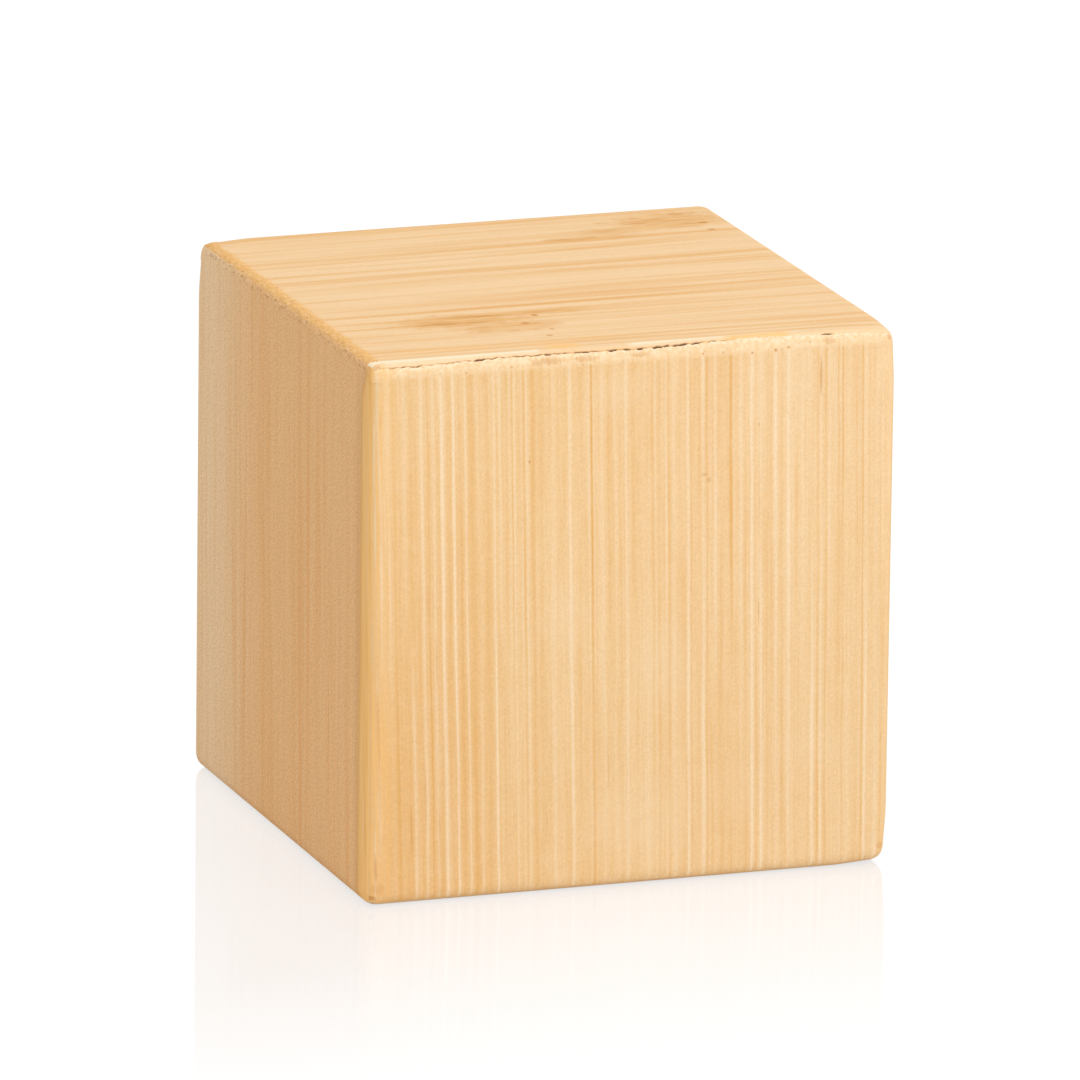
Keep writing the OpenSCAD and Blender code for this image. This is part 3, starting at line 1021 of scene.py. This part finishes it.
def hidden_finish(name, seed):
    """Finish of a board that the photograph doesn't show."""
    bamboo = Bamboo(name, (1.2, 0.6), float(seed))
    lay_grain(bamboo, chance_streaks(seed), strand=0.8, streak=0.9)
    lay_ends(bamboo)
    return lay_surface(bamboo)


# Operators of the boards

class CUBE_OT_blank(bpy.types.Operator):
    """Shapes the glued-up cube that the boards are parted from"""

    bl_idname = "bamboo_cube.blank"
    bl_label = "Cube Blank"

    def execute(self, context):
        cube_blank(settings()[0])
        return {"FINISHED"}


class CUBE_OT_front_board(bpy.types.Operator):
    """Parts the front board and opens its joint with the top"""

    bl_idname = "bamboo_cube.front_board"
    bl_label = "Front Board"

    def execute(self, context):
        sizes = settings()[0]
        board = part_board("front_board", sizes)
        mark_joint(board, "front_seam", "top_board", "front_board", sizes)
        open_joint(board, sizes)
        finish_board(board, "front_board", front_finish())
        return {"FINISHED"}


class CUBE_OT_top_board(bpy.types.Operator):
    """Parts the top board, opens its front joint and frays its left one"""

    bl_idname = "bamboo_cube.top_board"
    bl_label = "Top Board"

    def execute(self, context):
        sizes = settings()[0]
        board = part_board("top_board", sizes)
        mark_joint(board, "front_seam", "top_board", "front_board", sizes)
        mark_joint(board, "left_seam", "top_board", "left_board", sizes)
        fray_joint(board, "top_board", "left_board", sizes)
        open_joint(board, sizes)
        finish_board(board, "top_board", top_finish())
        return {"FINISHED"}


class CUBE_OT_left_board(bpy.types.Operator):
    """Parts the left board and frays its joint with the top"""

    bl_idname = "bamboo_cube.left_board"
    bl_label = "Left Board"

    def execute(self, context):
        sizes = settings()[0]
        board = part_board("left_board", sizes)
        mark_joint(board, "left_seam", "top_board", "left_board", sizes)
        fray_joint(board, "top_board", "left_board", sizes)
        finish_board(board, "left_board", left_finish())
        return {"FINISHED"}


class CUBE_OT_hidden_boards(bpy.types.Operator):
    """Parts the boards on the far sides and underneath"""

    bl_idname = "bamboo_cube.hidden_boards"
    bl_label = "Back, Right and Bottom Boards"

    def execute(self, context):
        sizes = settings()[0]
        for seed, name in enumerate(("back_board", "right_board", "bottom_board"), start=4):
            board = part_board(name, sizes)
            finish_board(board, name, hidden_finish(name, seed))
        bpy.data.objects.remove(bpy.data.objects[BLANK])
        return {"FINISHED"}


# Studio

# The floor: its glow and the share of it that the camera sees, its grey, and its reflection near the cube
FLOOR_GLOW = 1.08
FLOOR_SEEN = 0.9
FLOOR_GREY = (0.66, 0.66, 0.66, 1)
REFLECTION = 0.26
REFLECTION_REACH = 0.085
REFLECTION_ROUGHNESS = 0.035
WHITE = (1, 1, 1, 1)
# Place and width of the two lamps, and width of the camera's sensor
FRONT_LAMP = (0.42, -0.85, 0.55), 0.7
TOP_LAMP = (-0.1, -0.1, 1.0), 0.8
SENSOR_MM = 36.0


def studio_floor(size=3.0):
    """White floor that holds a faint reflection near the cube and its soft shadow."""
    bpy.ops.object.select_all(action="DESELECT")
    bpy.ops.mesh.primitive_plane_add(size=size, location=(0, 0, 0))
    floor = bpy.context.object
    floor.name = "floor"
    material = bpy.data.materials.new("white_floor")
    material.use_nodes = True
    tree = material.node_tree
    tree.nodes.clear()
    sheet = NodeSheet(tree)
    place = sheet.add("ShaderNodeTexCoord").outputs["Object"]
    x, y, _ = sheet.add("ShaderNodeSeparateXYZ", {0: place}).outputs
    reach = sheet.math("MAXIMUM", sheet.math("ABSOLUTE", x), sheet.math("ABSOLUTE", y))
    away = sheet.math("SUBTRACT", reach, SIDE / 2)
    gloss = sheet.smooth(away, REFLECTION_REACH, -0.01, 0.0, REFLECTION)
    path = sheet.add("ShaderNodeLightPath").outputs
    white = sheet.add("ShaderNodeEmission", {"Color": WHITE, "Strength": FLOOR_GLOW}).outputs[0]
    matt = sheet.add("ShaderNodeBsdfDiffuse", {"Color": FLOOR_GREY}).outputs[0]
    seen = sheet.times(path["Is Camera Ray"], FLOOR_SEEN)
    ground = sheet.add("ShaderNodeMixShader", {0: seen, 1: matt, 2: white}).outputs[0]
    mirror = sheet.add("ShaderNodeBsdfGlossy", {"Color": WHITE, "Roughness": REFLECTION_ROUGHNESS}).outputs[0]
    surface = sheet.add("ShaderNodeMixShader", {0: gloss, 1: ground, 2: mirror}).outputs[0]
    sheet.add("ShaderNodeOutputMaterial", {"Surface": surface})
    floor.data.materials.append(material)


def softbox(name, place, width, power):
    """A large square lamp that looks at the middle of the cube."""
    lamp = bpy.data.lights.new(name, "AREA")
    lamp.shape = "SQUARE"
    lamp.size = width
    lamp.energy = power
    obj = bpy.data.objects.new(name, lamp)
    obj.location = place
    aim = Vector((0, 0, SIDE / 2)) - Vector(place)
    obj.rotation_euler = aim.to_track_quat("-Z", "Y").to_euler()
    bpy.context.collection.objects.link(obj)


def room_light(strength):
    """Even white light all round, which the camera and reflections see as plain white."""
    world = bpy.data.worlds.new("white_room")
    bpy.context.scene.world = world
    world.use_nodes = True
    world.node_tree.nodes.clear()
    sheet = NodeSheet(world.node_tree)
    path = sheet.add("ShaderNodeLightPath").outputs
    seen = sheet.math("ADD", path["Is Camera Ray"], path["Is Glossy Ray"])
    seen = sheet.math("ADD", seen, path["Is Transmission Ray"], clamp=True)
    level = sheet.blend(seen, strength, 1.0)
    back = sheet.add("ShaderNodeBackground", {"Color": WHITE, "Strength": level}).outputs[0]
    sheet.add("ShaderNodeOutputWorld", {"Surface": back})


def photo_camera(studio):
    """Camera at the photograph's angle, far off with a long lens."""
    turn, rise = studio.azimuth, studio.elevation
    back = Vector((math.sin(turn) * math.cos(rise), -math.cos(turn) * math.cos(rise), math.sin(rise)))
    right = Vector((math.cos(turn), math.sin(turn), 0))
    up = back.cross(right)
    tilted_right = right * math.cos(studio.roll) + up * math.sin(studio.roll)
    tilted_up = up * math.cos(studio.roll) - right * math.sin(studio.roll)
    data = bpy.data.cameras.new("camera")
    data.sensor_width = SENSOR_MM
    data.lens = studio.lens_mm
    camera = bpy.data.objects.new("camera", data)
    place = Vector((0, 0, SIDE / 2)) + back * studio.distance + tilted_up * studio.lift
    axes = Matrix((tilted_right, tilted_up, back)).transposed().to_4x4()
    camera.matrix_world = Matrix.Translation(place) @ axes
    bpy.context.collection.objects.link(camera)
    bpy.context.scene.camera = camera


class CUBE_OT_studio(bpy.types.Operator):
    """Sets the white floor, the soft lamps and the camera"""

    bl_idname = "bamboo_cube.studio"
    bl_label = "White Studio"

    def execute(self, context):
        studio = settings()[2]
        studio_floor()
        room_light(studio.world_fill)
        softbox("front_lamp", *FRONT_LAMP, studio.key_power)
        softbox("top_lamp", *TOP_LAMP, studio.top_power)
        photo_camera(studio)
        context.scene.view_settings.view_transform = "Standard"
        return {"FINISHED"}


OPERATORS = (
    CUBE_OT_blank, CUBE_OT_front_board, CUBE_OT_top_board, CUBE_OT_left_board,
    CUBE_OT_hidden_boards, CUBE_OT_studio)


class CUBE_PT_panel(bpy.types.Panel):
    """Values and steps of the bamboo cube"""

    bl_label = "Bamboo Cube"
    bl_idname = "CUBE_PT_panel"
    bl_space_type = "VIEW_3D"
    bl_region_type = "UI"
    bl_category = "Bamboo Cube"

    def draw(self, context):
        for values in settings():
            box = self.layout.box()
            for key in values.__annotations__:
                box.prop(values, key)
        for operator in OPERATORS:
            self.layout.operator(operator.bl_idname)


CLASSES = (CubeSizes, BambooFinish, CubeStudio, *OPERATORS, CUBE_PT_panel)


def register():
    for cls in CLASSES:
        bpy.utils.register_class(cls)
    bpy.types.Scene.cube_sizes = PointerProperty(type=CubeSizes)
    bpy.types.Scene.bamboo_finish = PointerProperty(type=BambooFinish)
    bpy.types.Scene.cube_studio = PointerProperty(type=CubeStudio)


def unregister():
    del bpy.types.Scene.cube_studio
    del bpy.types.Scene.bamboo_finish
    del bpy.types.Scene.cube_sizes
    for cls in reversed(CLASSES):
        bpy.utils.unregister_class(cls)


def main():
    register()
    bpy.ops.bamboo_cube.blank()
    bpy.ops.bamboo_cube.front_board()
    bpy.ops.bamboo_cube.top_board()
    bpy.ops.bamboo_cube.left_board()
    bpy.ops.bamboo_cube.hidden_boards()
    bpy.ops.bamboo_cube.studio()


if __name__ == "__main__":
    main()
